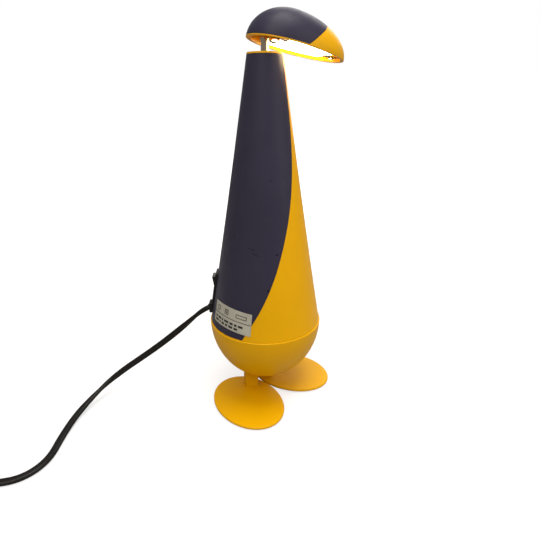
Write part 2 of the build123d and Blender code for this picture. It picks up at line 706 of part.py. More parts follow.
def egg(inset, above=0.0):
    """The head's egg shape, inset from its outside, kept above its rim."""
    with BuildPart() as whole:
        with BuildSketch(NOSE):
            with BuildLine():
                rear = EllipticalCenterArc(
                    (0, 0), HEAD_REAR - inset, HEAD_R - inset, 90, arc_size=90)
                nose = EllipticalCenterArc(
                    (0, 0), HEAD_FRONT - inset, HEAD_R - inset, 0, arc_size=90)
                Line(rear @ 1, nose @ 0)
            make_face()
        revolve(axis=NOSE_AXIS)
        split(bisect_by=RIM.offset(above), keep=Keep.TOP)
    return whole.part


GLASS_Z = GLASS_LIFT + GLASS_THICK
CROSS = Plane(HEAD.origin, ACROSS, FORWARD)         # x to the head's left, y up

with BuildPart() as head_shell:
    with BuildSketch(CROSS.offset(BULKHEAD_U - BULKHEAD_THICK / 2)):
        Rectangle(80, 80)
    extrude(amount=BULKHEAD_THICK)
    with BuildSketch(HEAD):
        with Locations((BOSS_U, 0)):
            Circle(BOSS_R)
    extrude(amount=40, both=True)
    add(egg(0.5, GLASS_LIFT), mode=Mode.INTERSECT)
    add(egg(0) - egg(HEAD_WALL))
    add((egg(-3, HEAD_BEAD) - egg(COVER_WALL + COVER_FIT, HEAD_BEAD - 1)).split(BEAK, Keep.BOTTOM),
        mode=Mode.SUBTRACT)
    with Locations([Plane(at_head(BULKHEAD_U - 5, across, 0), ACROSS, -FORWARD)
                    for across in BRACKET_SCREWS]):
        Hole(SELF_TAP_R + RUN, 12)
    with Locations([Plane(at_head(forward, across, HEAD_W + GLASS_LIFT), FORWARD, -UPWARD)
                    for forward, across in CLIP_SCREWS]):
        Hole(CLIP_SCREW_R + RUN, 5)
save(head_shell, "head_shell")

with BuildPart() as head_cover:
    add((egg(0, HEAD_BEAD + COVER_FIT) - egg(COVER_WALL, HEAD_BEAD)).split(
        BEAK.offset(-SPLIT_GAP), Keep.BOTTOM))
save(head_cover, "head_cover")

with BuildPart() as tilt_bracket:
    with BuildSketch(CROSS.offset(BULKHEAD_U - BULKHEAD_THICK / 2 - 1.6)):
        RectangleRounded(22, 7.2, 1)
    extrude(amount=1.5)
    for across in (CHEEK_AT + 0.75, -CHEEK_AT - 0.75):
        with BuildSketch(Plane(at_head(0, across, 0), FORWARD, -ACROSS)):
            Circle(3.6)
            with Locations((3.2, 0)):
                Rectangle(6.4, 7.2)
        extrude(amount=0.75, both=True)
    with BuildSketch(PIN):
        Circle(PIN_R + RUN)
    extrude(amount=20, both=True, mode=Mode.SUBTRACT)
    with Locations([Plane(at_head(BULKHEAD_U - 5, across, 0), ACROSS, -FORWARD)
                    for across in BRACKET_SCREWS]):
        Hole(SELF_TAP_R + RUN, 12)
save(tilt_bracket, "tilt_bracket")

with BuildPart() as bracket_screws:
    for across in BRACKET_SCREWS:
        top = at_head(BULKHEAD_U - BULKHEAD_THICK / 2 - 3.4, across, 0)
        add(screw(Plane(top, ACROSS, -FORWARD), 2.2, 1.8, SELF_TAP_R, 9.5, False))
save(bracket_screws, "bracket_screws")

with BuildPart() as tilt_pin:
    with BuildSketch(PIN.offset(-CHEEK_AT - 2.7)):
        Circle(2.4)
    extrude(amount=1.1)
    with BuildSketch(PIN.offset(-CHEEK_AT - 2.7)):
        Circle(PIN_R)
    extrude(amount=2 * CHEEK_AT + 5.6)
save(tilt_pin, "tilt_pin")

with BuildPart() as tilt_nut:
    with BuildSketch(PIN.offset(CHEEK_AT + 1.6)):
        RegularPolygon(2.6, 6, major_radius=False)
        Circle(PIN_R + RUN, mode=Mode.SUBTRACT)
    extrude(amount=1.6)
save(tilt_nut, "tilt_nut")

with BuildPart() as friction_washers:
    for start in (EYE_HALF + 0.05, -CHEEK_AT + 0.05):
        with BuildSketch(PIN.offset(start)):
            Circle(3.4)
            Circle(PIN_R + RUN, mode=Mode.SUBTRACT)
        extrude(amount=CHEEK_AT - EYE_HALF - 0.1)
save(friction_washers, "friction_washers")

LAMP_U = BULKHEAD_U + BULKHEAD_THICK / 2 + 0.1
with BuildPart() as reflector:
    with BuildSketch(CROSS.offset(LAMP_U)):
        Circle(REFLECTOR_R)
        Rectangle(60, 60, align=(Align.CENTER, Align.MAX), mode=Mode.SUBTRACT)
        with Locations((0, -1.6)):
            Rectangle(2 * REFLECTOR_R, 3.4)
    extrude(amount=0.5)
    with BuildSketch(CROSS.offset(LAMP_U)):
        Circle(REFLECTOR_R)
        Circle(REFLECTOR_R - 0.5, mode=Mode.SUBTRACT)
        Rectangle(60, 60, align=(Align.CENTER, Align.MAX), mode=Mode.SUBTRACT)
    extrude(amount=27)
    with Locations([Plane(at_head(BULKHEAD_U - 5, across, 0), ACROSS, -FORWARD)
                    for across in BRACKET_SCREWS]):
        Hole(SELF_TAP_R + RUN, 15)
save(reflector, "reflector")

with BuildPart() as lamp_holder:
    with BuildSketch(CROSS.offset(LAMP_U + 0.6)):
        Rectangle(2 * REFLECTOR_R - 2.2, 5.2)
    extrude(amount=2)
    with BuildSketch(CROSS.offset(LAMP_U + 0.6)):
        with Locations((0, BULB_UP)):
            RectangleRounded(9, 8.4, 1)
    extrude(amount=8)
    with Locations([Plane(at_head(BULKHEAD_U - 5, across, 0), ACROSS, -FORWARD)
                    for across in BRACKET_SCREWS]):
        Hole(SELF_TAP_R + RUN, 15)
    with Locations(CROSS.offset(LAMP_U + 8.6)):
        with Locations((2, BULB_UP), (-2, BULB_UP)):
            Hole(0.5, 5)
save(lamp_holder, "lamp_holder")

BULB = Plane(at_head(LAMP_U + 9.6, 0, BULB_UP), FORWARD, -ACROSS)


with BuildPart() as bulb_glass:
    with BuildSketch(BULB):
        with BuildLine():
            outside = Polyline((0, 0), (0, BULB_FOOT_R), (2.2, BULB_FOOT_R), (3.5, BULB_R),
                               (BULB_LONG - BULB_R, BULB_R))
            outer_dome = RadiusArc(outside @ 1, (BULB_LONG, 0), BULB_R)
            inside = Polyline((BULB_WALL, 0), (BULB_WALL, BULB_FOOT_R - BULB_WALL),
                              (2.5, BULB_FOOT_R - BULB_WALL), (3.8, BULB_R - BULB_WALL),
                              (BULB_LONG - BULB_R, BULB_R - BULB_WALL))
            inner_dome = RadiusArc(inside @ 1, (BULB_LONG - BULB_WALL, 0), BULB_R - BULB_WALL)
            Line(outside @ 0, inside @ 0)
            Line(outer_dome @ 1, inner_dome @ 1)
        make_face()
    revolve(axis=Axis(BULB.origin, FORWARD))
    with BuildSketch(Plane(BULB.origin, ACROSS, FORWARD)):
        with Locations((2, 0), (-2, 0)):
            Circle(0.42)
    extrude(amount=2, mode=Mode.SUBTRACT)
save(bulb_glass, "bulb_glass")

with BuildPart() as bulb_pins:
    with BuildSketch(Plane(BULB.origin, ACROSS, FORWARD).offset(-5)):
        with Locations((2, 0), (-2, 0)):
            Circle(0.38)
    extrude(amount=13)
    with BuildSketch(Plane(at_head(LAMP_U + 17.6, 0, BULB_UP), FORWARD, -ACROSS)):
        Circle(0.6)
    extrude(amount=2.4, both=True)
save(bulb_pins, "bulb_pins")

with BuildPart() as cover_glass:
    with BuildSketch(HEAD):
        with Locations((LAMP_U, 0)):
            Rectangle(GLASS_END - LAMP_U, 80, align=(Align.MIN, Align.CENTER))
    extrude(amount=40, both=True)
    add(egg(HEAD_WALL + 0.15, GLASS_LIFT) - egg(HEAD_WALL - 2, GLASS_Z), mode=Mode.INTERSECT)
save(cover_glass, "cover_glass")

with BuildPart() as glass_clips:
    for forward, across in CLIP_SCREWS:
        inwards = -1 if forward > HEAD_U else 1
        with BuildSketch(RIM.offset(GLASS_LIFT - 0.85)):
            with Locations((forward + inwards * 2.2, across)):
                RectangleRounded(9.6, 5.6, 1)
            with Locations((forward, across)):
                Circle(CLIP_SCREW_R + RUN, mode=Mode.SUBTRACT)
        extrude(amount=0.8)
save(glass_clips, "glass_clips")

with BuildPart() as clip_screws:
    for forward, across in CLIP_SCREWS:
        top = at_head(forward, across, HEAD_W + GLASS_LIFT - 2.1)
        add(screw(Plane(top, FORWARD, -UPWARD), 1.7, 1.2, CLIP_SCREW_R, 6.0, False))
save(clip_screws, "clip_screws")

# ================= Mains lead =================


def bend_radii(route):
    """The largest even bends the runs allow: 0.45 of the shorter run over tan(half the turn)."""
    radii = []
    for before, corner, after in zip(route, route[1:], route[2:]):
        come, go = Vector(*corner) - Vector(*before), Vector(*after) - Vector(*corner)
        half_turn = radians(come.get_angle(go)) / 2
        radii.append(0.45 * min(come.length, go.length) / tan(half_turn))
    return radii


radii = bend_radii(CORD_ROUTE)
print("cord bend radii", [round(radius, 1) for radius in radii])

with BuildPart() as cord_run:
    with BuildLine() as route:
        FilletPolyline(*CORD_ROUTE, radius=radii)
    with BuildSketch(Plane(route.line @ 0, z_dir=route.line % 0)):
        Circle(CORD_R)
    sweep()
run_length = sum(edge.length for edge in route.edges())
print("cord run length", round(run_length, 1),
      "volume ratio", round(cord_run.part.volume / (pi * CORD_R ** 2 * run_length), 4))
save(cord_run, "cord_run")

COIL = Plane((COIL_AT[0], COIL_AT[1], 0))
with BuildPart() as cord_coil:
    with BuildSketch(COIL.offset(COIL_Z)):
        Circle(COIL_MEAN_R + COIL_SECTION[0] / 2)
        Circle(COIL_MEAN_R - COIL_SECTION[0] / 2, mode=Mode.SUBTRACT)
    extrude(amount=COIL_SECTION[1])
    fillet(cord_coil.edges(), CORD_R)
save(cord_coil, "cord_coil")

TIE = Plane((COIL_AT[0], COIL_AT[1] + COIL_MEAN_R, COIL_Z + COIL_SECTION[1] / 2), (0, 1, 0), (1, 0, 0))
with BuildPart() as cord_tie:
    with BuildSketch(TIE):
        RectangleRounded(COIL_SECTION[0] + 2.6, COIL_SECTION[1] + 2, 3)
        RectangleRounded(COIL_SECTION[0] + 0.6, COIL_SECTION[1] + 0.1, 2.1, mode=Mode.SUBTRACT)
    extrude(amount=4, both=True)
save(cord_tie, "cord_tie")

PLUG = Plane((PLUG_AT[0], PLUG_AT[1], PLUG_Z), (1, 0, 0), (0, -1, 0))     # x across, y up
with BuildPart() as plug_body:
    with BuildSketch(PLUG):
        RectangleRounded(PLUG_SIZE[0], PLUG_SIZE[2], 4)
    with BuildSketch(PLUG.offset(PLUG_SIZE[1])):
        RectangleRounded(PLUG_SIZE[0] * 0.5, PLUG_SIZE[2] * 0.75, 4)
    loft()
    with BuildSketch(PLUG.offset(PLUG_SIZE[1] - 1)):
        Circle(4.2)
    with BuildSketch(PLUG.offset(PLUG_SIZE[1] + SLEEVE)):
        Circle(3.2)
    loft()
    with BuildSketch(PLUG.offset(8)):
        with Locations((PIN_APART / 2, 0), (-PIN_APART / 2, 0)):
            Circle(2 + RUN)
    extrude(amount=-8, mode=Mode.SUBTRACT)
save(plug_body, "plug_body")

with BuildPart() as plug_pins:
    with BuildSketch(PLUG.offset(8)):
        with Locations((PIN_APART / 2, 0), (-PIN_APART / 2, 0)):
            Circle(2)
    extrude(amount=-8 - PIN_LONG)
    fillet(plug_pins.faces().sort_by(Axis.Y)[-2:].edges(), 1.2)
save(plug_pins, "plug_pins")
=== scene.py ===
"""Looks for the penguin-shaped table lamp. Metres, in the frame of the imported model."""
import math

import bmesh
import bpy
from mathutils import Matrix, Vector


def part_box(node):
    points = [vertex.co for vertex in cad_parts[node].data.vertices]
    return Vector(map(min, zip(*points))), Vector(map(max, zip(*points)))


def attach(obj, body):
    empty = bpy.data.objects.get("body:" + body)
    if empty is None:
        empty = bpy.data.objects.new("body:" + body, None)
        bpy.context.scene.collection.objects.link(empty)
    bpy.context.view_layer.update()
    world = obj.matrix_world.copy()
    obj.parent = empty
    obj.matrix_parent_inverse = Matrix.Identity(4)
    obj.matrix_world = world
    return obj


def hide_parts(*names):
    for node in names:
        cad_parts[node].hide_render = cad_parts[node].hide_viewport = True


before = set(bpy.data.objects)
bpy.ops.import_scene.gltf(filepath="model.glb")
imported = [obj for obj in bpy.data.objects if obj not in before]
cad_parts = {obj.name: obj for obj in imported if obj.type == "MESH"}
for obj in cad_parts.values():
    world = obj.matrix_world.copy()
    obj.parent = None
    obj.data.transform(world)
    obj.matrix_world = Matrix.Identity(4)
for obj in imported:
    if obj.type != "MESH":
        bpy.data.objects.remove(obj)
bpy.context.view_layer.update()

LAMP_X, LAMP_Y = -0.0066, 0.0067      # the lamp's upright axis
UP = Vector((0, 0, 1))
BODY_R, BODY_Z = 0.0482, 0.0751       # the body's cone: radius and height at its lower edge
TOP_R, TOP_Z = 0.0135, 0.2936         # and at its top
bpy.context.scene.view_settings.view_transform = "Standard"


def body_point(heading, z, lift=0.0):
    """A point on the body's side at a heading in degrees, lifted off it."""
    radius = BODY_R - (BODY_R - TOP_R) * (z - BODY_Z) / (TOP_Z - BODY_Z) + lift
    turn = math.radians(heading)
    return Vector((LAMP_X + radius * math.cos(turn), LAMP_Y + radius * math.sin(turn), z))


# ---------------------------------------------------------------- camera
camera_data = bpy.data.cameras.new("photo_camera")
camera_data.sensor_width = 36
camera_data.lens = 29.38
camera_data.shift_x = 0.0053
camera_data.shift_y = -0.037
camera_data.clip_start = 0.01
camera = bpy.data.objects.new("photo_camera", camera_data)
camera.location = (LAMP_X + 0.00181, LAMP_Y - 0.35735, 0.26572)
camera.rotation_euler = (math.radians(90 - 19.69), 0, 0)
bpy.context.scene.collection.objects.link(camera)
bpy.context.scene.camera = camera


# ---------------------------------------------------------------- helpers
def link(obj):
    bpy.context.scene.collection.objects.link(obj)
    return obj


def mesh_object(name, verts, faces, smooth=True):
    mesh = bpy.data.meshes.new(name)
    mesh.from_pydata([tuple(v) for v in verts], [], faces)
    mesh.validate()
    mesh.update()
    obj = link(bpy.data.objects.new(name, mesh))
    fix_normals(obj)
    if smooth:
        mesh.polygons.foreach_set("use_smooth", [True] * len(mesh.polygons))
    return obj


def fix_normals(obj):
    bm = bmesh.new()
    bm.from_mesh(obj.data)
    bmesh.ops.recalc_face_normals(bm, faces=bm.faces)
    bm.to_mesh(obj.data)
    bm.free()


def smoothstep(low, high, value):
    t = min(1.0, max(0.0, (value - low) / (high - low)))
    return t * t * (3 - 2 * t)


# ---------------------------------------------------------------- materials
def new_material(name):
    material = bpy.data.materials.new(name)
    material.use_nodes = True
    tree = material.node_tree
    return material, tree, tree.nodes["Principled BSDF"]


def node(tree, kind, **values):
    made = tree.nodes.new(kind)
    for key, value in values.items():
        if hasattr(made, key):
            setattr(made, key, value)
        else:
            made.inputs[key].default_value = value
    return made


def noise(tree, scale, detail=3.0, rough=0.5, stretch=(1, 1, 1)):
    place = node(tree, "ShaderNodeTexCoord")
    turn = node(tree, "ShaderNodeMapping")
    turn.inputs["Scale"].default_value = stretch
    made = node(tree, "ShaderNodeTexNoise", Scale=scale, Detail=detail, Roughness=rough)
    tree.links.new(place.outputs["Object"], turn.inputs["Vector"])
    tree.links.new(turn.outputs["Vector"], made.inputs["Vector"])
    return made.outputs["Fac"]


def ramp(tree, source, stops):
    made = node(tree, "ShaderNodeValToRGB")
    marks = made.color_ramp.elements
    while len(marks) < len(stops):
        marks.new(0.5)
    for mark, (place, colour) in zip(marks, stops):
        mark.position = place
        mark.color = (*colour, 1)
    tree.links.new(source, made.inputs["Fac"])
    return made.outputs["Color"]


def math_node(tree, operation, first, second):
    made = node(tree, "ShaderNodeMath", operation=operation)
    for socket, value in zip(made.inputs, (first, second)):
        if isinstance(value, (int, float)):
            socket.default_value = value
        else:
            tree.links.new(value, socket)
    return made.outputs[0]


def bump(tree, shader, height, strength, distance):
    made = node(tree, "ShaderNodeBump", Strength=strength, Distance=distance)
    tree.links.new(height, made.inputs["Height"])
    tree.links.new(made.outputs["Normal"], shader.inputs["Normal"])


def mixed(tree, mask, below, above):
    """Colour below where mask is 0, above where it is 1."""
    made = node(tree, "ShaderNodeMix", data_type="RGBA")
    tree.links.new(mask, made.inputs[0])
    for socket, value in ((made.inputs[6], below), (made.inputs[7], above)):
        if isinstance(value, tuple):
            socket.default_value = (*value, 1)
        else:
            tree.links.new(value, socket)
    return made.outputs[2]


def plastic(name, colour, spread=0.06, rough=(0.32, 0.42), grain=1800, grain_height=0.00002,
            blotch=22, specular=0.5):
    """Moulded plastic: faint cloudy colour, an uneven sheen and a fine moulded grain."""
    material, tree, shader = new_material(name)
    clouds = noise(tree, blotch, 4, 0.6)
    dark = tuple(c * (1 - spread) for c in colour)
    light = tuple(min(1, c * (1 + spread)) for c in colour)
    tree.links.new(ramp(tree, clouds, [(0.3, dark), (0.7, light)]), shader.inputs["Base Color"])
    sheen = noise(tree, blotch * 5, 5, 0.6)
    tree.links.new(ramp(tree, sheen, [(0.3, (rough[0],) * 3), (0.7, (rough[1],) * 3)]),
                   shader.inputs["Roughness"])
    shader.inputs["Specular IOR Level"].default_value = specular
    bump(tree, shader, noise(tree, grain, 2, 0.5), 0.25, grain_height)
    return material


def metal(name, colour, rough=(0.2, 0.35), stretch=(1, 1, 1), height=0.00001):
    """Bare metal with darker streaks, rougher where they are light."""
    material, tree, shader = new_material(name)
    shader.inputs["Metallic"].default_value = 1.0
    streak = noise(tree, 400, 4, 0.6, stretch)
    dark = tuple(c * 0.82 for c in colour)
    tree.links.new(ramp(tree, streak, [(0.35, dark), (0.65, colour)]), shader.inputs["Base Color"])
    tree.links.new(ramp(tree, streak, [(0.3, (rough[0],) * 3), (0.7, (rough[1],) * 3)]),
                   shader.inputs["Roughness"])
    bump(tree, shader, streak, 0.2, height)
    return material


YELLOW = plastic("yellow_plastic", (0.72, 0.36, 0.0004), 0.04, (0.32, 0.44), blotch=14, specular=0.12)
BLACK = plastic("black_plastic", (0.0060, 0.0052, 0.0050), 0.15, (0.34, 0.48), grain=2600, specular=0.22)
ROCKER = plastic("rocker_plastic", (0.0055, 0.0050, 0.0050), 0.1, (0.20, 0.30), grain=3000, specular=0.3)
PVC = plastic("cord_pvc", (0.0065, 0.0050, 0.0042), 0.2, (0.32, 0.44), grain=900,
              grain_height=0.00003, specular=0.22)
RUBBER = plastic("foot_rubber", (0.02, 0.02, 0.02), 0.2, (0.7, 0.85), grain=1500)
NYLON = plastic("nylon", (0.72, 0.70, 0.63), 0.05, (0.4, 0.5))
TAPE = plastic("winding_tape", (0.55, 0.33, 0.04), 0.1, (0.3, 0.4), grain=600)
SLEEVE = plastic("lead_sleeve", (0.65, 0.64, 0.6), 0.06, (0.5, 0.6))
TIE = plastic("tie_plastic", (0.02, 0.02, 0.021), 0.15, (0.4, 0.5), grain=1200)
ZINC = metal("zinc_steel", (0.55, 0.55, 0.57))
IRON = metal("ballast_iron", (0.14, 0.14, 0.14), (0.5, 0.7), height=0.00008)
CORE = metal("core_steel", (0.28, 0.28, 0.3), (0.4, 0.55), (40, 1, 1))
BRASS = metal("brass", (0.72, 0.50, 0.20))
CHROME = metal("neck_chrome", (0.62, 0.50, 0.36), (0.14, 0.24), (1, 1, 0.05))
SPRING = metal("spring_steel", (0.10, 0.09, 0.085), (0.35, 0.5))
ALUMINIUM = metal("reflector_aluminium", (0.86, 0.85, 0.82), (0.12, 0.25))


def lit(material, colour, strength):
    """Gives a material a steady glow."""
    shader = material.node_tree.nodes["Principled BSDF"]
    shader.inputs["Emission Color"].default_value = (*colour, 1)
    shader.inputs["Emission Strength"].default_value = strength
    return material


CERAMIC = plastic("white_ceramic", (0.80, 0.78, 0.72), 0.04, (0.5, 0.65), grain=1200)


def clear(name, tint, glow, rough):
    """Clear glass with a warm glow."""
    material, tree, shader = new_material(name)
    clouds = noise(tree, 60, 3, 0.5)
    tree.links.new(ramp(tree, clouds, [(0.3, (rough,) * 3), (0.7, (rough * 1.6,) * 3)]),
                   shader.inputs["Roughness"])
    tree.links.new(ramp(tree, clouds, [(0.3, tint), (0.7, tuple(c * 0.97 for c in tint))]),
                   shader.inputs["Base Color"])
    shader.inputs["Transmission Weight"].default_value = 1.0
    shader.inputs["IOR"].default_value = 1.46
    return lit(material, (1.0, 0.83, 0.55), glow)


BULB_GLASS = clear("bulb_glass", (1.0, 0.98, 0.94), 12.0, 0.05)
PANE_GLASS = clear("pane_glass", (0.97, 0.99, 0.98), 5.0, 0.15)
FILAMENT = lit(metal("filament", (0.7, 0.65, 0.6)), (1.0, 0.78, 0.45), 4.0)


def navy():
    """Satin navy plastic with rubbed patches, fine scuffs and a few nicks."""
    material, tree, shader = new_material("navy_plastic")
    clouds = noise(tree, 16, 5, 0.62)
    base = ramp(tree, clouds, [(0.28, (0.0265, 0.0235, 0.0420)), (0.72, (0.0340, 0.0300, 0.0520))])
    specks = noise(tree, 420, 3, 0.6)
    spots = ramp(tree, specks, [(0.70, (0, 0, 0)), (0.76, (1, 1, 1))])
    base = mixed(tree, spots, base, (0.010, 0.009, 0.012))
    place = node(tree, "ShaderNodeTexCoord")
    for heading, height, size in NICKS:
        away = node(tree, "ShaderNodeVectorMath", operation="DISTANCE")
        away.inputs[1].default_value = body_point(heading, height)
        tree.links.new(place.outputs["Object"], away.inputs[0])
        rough_edge = math_node(tree, "MULTIPLY", noise(tree, 900, 3, 0.6), size * 1.6)
        near = math_node(tree, "ADD", away.outputs["Value"], rough_edge)
        mask = math_node(tree, "LESS_THAN", near, size * 1.55)
        base = mixed(tree, mask, base, (0.0045, 0.004, 0.006))
    tree.links.new(base, shader.inputs["Base Color"])
    sheen = noise(tree, 90, 6, 0.65)
    tree.links.new(ramp(tree, sheen, [(0.3, (0.36,) * 3), (0.7, (0.50,) * 3)]),
                   shader.inputs["Roughness"])
    shader.inputs["Specular IOR Level"].default_value = 0.14
    fine = noise(tree, 2200, 2, 0.5)
    bump(tree, shader, fine, 0.3, 0.00003)
    return material


# ---------------------------------------------------------------- cord
ROUTE = [
    (-0.0568, 0.0067, 0.0834),
    (-0.0626, 0.0066, 0.0804),
    (-0.0692, 0.0064, 0.0752),
    (-0.0771, 0.0062, 0.0678),
    (-0.0924, 0.0052, 0.0547),
    (-0.1076, 0.0037, 0.0430),
    (-0.1228, 0.0012, 0.0327),
    (-0.1379, -0.0023, 0.0231),
    (-0.1519, -0.0083, 0.0136),
    (-0.1617, -0.0233, 0.0082),
    (-0.1689, -0.0423, 0.0045),
    (-0.1716, -0.0640, 0.0023),
    (-0.1708, -0.0896, 0.0023),
    (-0.1828, -0.1067, 0.0023),
    (-0.2045, -0.1110, 0.0023),
    (-0.2295, -0.1162, 0.0023),
]
COIL_CENTRE = Vector((-0.2686, -0.0841, 0))
COLUMN = {"outer": 0.0362, "inner": 0.0299}     # radius of each column of turns
LAYER = [0.0023, 0.0063, 0.0103, 0.0143]        # height of each layer of turns
SLOTS = [("outer", 0), ("inner", 0), ("inner", 1), ("inner", 2), ("inner", 3), ("outer", 3),
         ("outer", 2), ("outer", 1)]
FIRST_ANGLE = -62.0
COIL_START, COIL_STEP, COIL_END = 8.0, 15.0, 2640     # degrees wound from the first angle
# the degrees of a lap over which the lead shifts to its next place
FIRST_CROSSING, LATER_CROSSING = (295, 360), (240, 305)
OUTER_CLIMB, INNER_CLIMB = (240, 265), (300, 322)


def coil_points():
    """Neat wound turns, clockwise from above, each shifting to the next place over a short arc."""
    points = []
    last = len(SLOTS) - 1
    turned = COIL_START
    while turned < COIL_END:
        lap, part = divmod(turned, 360.0)
        now = SLOTS[min(int(lap), last)]
        after = SLOTS[min(int(lap) + 1, last)]
        if now[0] != after[0]:
            span = FIRST_CROSSING if now == SLOTS[0] else LATER_CROSSING
        else:
            span = OUTER_CLIMB if now[0] == "outer" else INNER_CLIMB
        share = smoothstep(*span, part)
        radius = COLUMN[now[0]] * (1 - share) + COLUMN[after[0]] * share
        height = LAYER[now[1]] * (1 - share) + LAYER[after[1]] * share
        turn = math.radians(FIRST_ANGLE - turned)
        points.append(COIL_CENTRE + Vector((radius * math.cos(turn), radius * math.sin(turn), height)))
        turned += COIL_STEP
    return points


TURNS = coil_points()
TAIL_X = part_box("plug_pins")[0][0] * 0.5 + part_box("plug_pins")[1][0] * 0.5
SLEEVE_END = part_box("plug_body")[0][1]
TAIL = [Vector((TAIL_X, SLEEVE_END - 0.006, 0.0066)), Vector((TAIL_X, SLEEVE_END + 0.004, 0.0070)),
        Vector((TAIL_X, SLEEVE_END + 0.014, 0.0070))]

# the centreline: points along a smooth curve that the route, the turns and the tail steer
route_data = bpy.data.curves.new("cord_route", "CURVE")
route_data.dimensions = "3D"
route_data.resolution_u = 8
line = route_data.splines.new("NURBS")
controls = [Vector(p) for p in ROUTE] + TURNS + TAIL
line.points.add(len(controls) - 1)
for place, control in zip(line.points, controls):
    place.co = (*control, 1)
line.order_u = 3
line.use_endpoint_u = True
route_object = link(bpy.data.objects.new("cord_route", route_data))
bpy.context.view_layer.update()
centre_mesh = bpy.data.meshes.new_from_object(
    route_object.evaluated_get(bpy.context.evaluated_depsgraph_get()))
centreline = [v.co.copy() for v in centre_mesh.vertices]
bpy.data.objects.remove(route_object)
bpy.data.meshes.remove(centre_mesh)

TWIN_R, TWIN_APART = 0.0019, 0.0011     # the flat twin lead: two round cores side by side
EDGE_TWIST = math.radians(82)
EDGE_FROM, EDGE_TO = (0.004, 0.045), (0.095, 0.165)     # metres from the exit: onto its edge and off it


def twin_section(count=24):
    """Outline of the twin lead: (across, up) points, with a shallow groove along each face."""
    outline = []
    for i in range(count):
        turn = 2 * math.pi * i / count
        # where a ray from the middle leaves the circle on its side
        along = abs(math.cos(turn)) * TWIN_APART
        reach = along + math.sqrt(TWIN_R ** 2 - (TWIN_APART * math.sin(turn)) ** 2)
        outline.append((reach * math.cos(turn), reach * math.sin(turn)))
    return outline


def twin_tube(name, path):
    """The twin lead along a path, on its edge for a stretch after the exit and flat beyond."""
    section = twin_section()
    count = len(section)
    verts, faces = [], []
    travelled = 0.0
    for i, point in enumerate(path):
        before, after = path[max(0, i - 1)], path[min(len(path) - 1, i + 1)]
        if i:
            travelled += (point - path[i - 1]).length
        tangent = (after - before).normalized()
        flat = UP.cross(tangent).normalized()
        upright = tangent.cross(flat)
        on_edge = smoothstep(*EDGE_FROM, travelled) * (1 - smoothstep(*EDGE_TO, travelled))
        twist = EDGE_TWIST * on_edge
        across = flat * math.cos(twist) + upright * math.sin(twist)
        up = upright * math.cos(twist) - flat * math.sin(twist)
        for a, b in section:
            verts.append(point + across * a + up * b)
    for i in range(len(path) - 1):
        for j in range(count):
            k = (j + 1) % count
            faces.append((i * count + j, i * count + k, (i + 1) * count + k, (i + 1) * count + j))
    faces.append(tuple(range(count)))
    faces.append(tuple((len(path) - 1) * count + j for j in range(count)))
    return mesh_object(name, verts, faces)


cord = twin_tube("mains_cord", centreline)
cord.data.materials.append(PVC)
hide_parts("cord_run", "cord_coil")
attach(cord, "body")


# ---------------------------------------------------------------- plug and tie
def lofted(name, plane_at, sections, count=48):
    """A closed skin through superellipse sections: (distance, half width, half height, power)."""
    verts, faces = [], []
    for distance, wide, high, power in sections:
        origin, across, up = plane_at(distance)
        for j in range(count):
            turn = 2 * math.pi * j / count
            c, s = math.cos(turn), math.sin(turn)
            a = math.copysign(abs(c) ** (2 / power), c) * wide
            b = math.copysign(abs(s) ** (2 / power), s) * high
            verts.append(origin + across * a + up * b)
    rows = len(sections)
    for i in range(rows - 1):
        for j in range(count):
            k = (j + 1) % count
            faces.append((i * count + j, i * count + k, (i + 1) * count + k, (i + 1) * count + j))
    for row in (0, rows - 1):
        middle = len(verts)
        verts.append(sum((verts[row * count + j] for j in range(count)), Vector()) / count)
        for j in range(count):
            faces.append((row * count + j, row * count + (j + 1) % count, middle))
    return mesh_object(name, verts, faces)


PLUG_LOW, PLUG_HIGH = [Vector(corner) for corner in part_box("plug_body")]
PLUG_WIDE = (PLUG_HIGH.x - PLUG_LOW.x) / 2
PLUG_TALL = (PLUG_HIGH.z - PLUG_LOW.z) / 2
PLUG_FACE = PLUG_HIGH.y
PLUG_LENGTH = 0.036                     # the grip, without its sleeve
RIDGES, RIDGE_START, RIDGE_PITCH = 5, 0.0125, 0.0036
RIBS = 6


def along_plug(distance):
    """Middle, across and up of the plug's section, a distance behind its face."""
    return (Vector(((PLUG_LOW.x + PLUG_HIGH.x) / 2, PLUG_FACE - distance, PLUG_TALL)),
            Vector((1, 0, 0)), Vector((0, 0, 1)))


sections = [(0.0, PLUG_WIDE - 0.0022, PLUG_TALL - 0.0022, 3.2),
            (0.0007, PLUG_WIDE - 0.0008, PLUG_TALL - 0.0008, 3.2),
            (0.0022, PLUG_WIDE, PLUG_TALL, 3.2), (0.010, PLUG_WIDE - 0.0006, PLUG_TALL, 3.2)]
for ridge in range(RIDGES):
    at = RIDGE_START + ridge * RIDGE_PITCH
    waist = PLUG_WIDE * (0.93 - 0.075 * ridge)
    sections += [(at, waist, PLUG_TALL - 0.0004, 3.0),
                 (at + 0.0006, waist - 0.0009, PLUG_TALL - 0.0013, 3.0),
                 (at + 0.0018, waist - 0.0010, PLUG_TALL - 0.0014, 3.0),
                 (at + 0.0024, waist - 0.0004, PLUG_TALL - 0.0005, 3.0)]
sections += [(0.0315, PLUG_WIDE * 0.54, PLUG_TALL * 0.84, 2.7),
             (0.0345, PLUG_WIDE * 0.44, PLUG_TALL * 0.74, 2.5),
             (0.0358, PLUG_WIDE * 0.32, PLUG_TALL * 0.66, 2.3),
             (0.0362, PLUG_WIDE * 0.24, PLUG_TALL * 0.58, 2.1)]
SLEEVE_LONG = PLUG_FACE - PLUG_LOW.y - PLUG_LENGTH
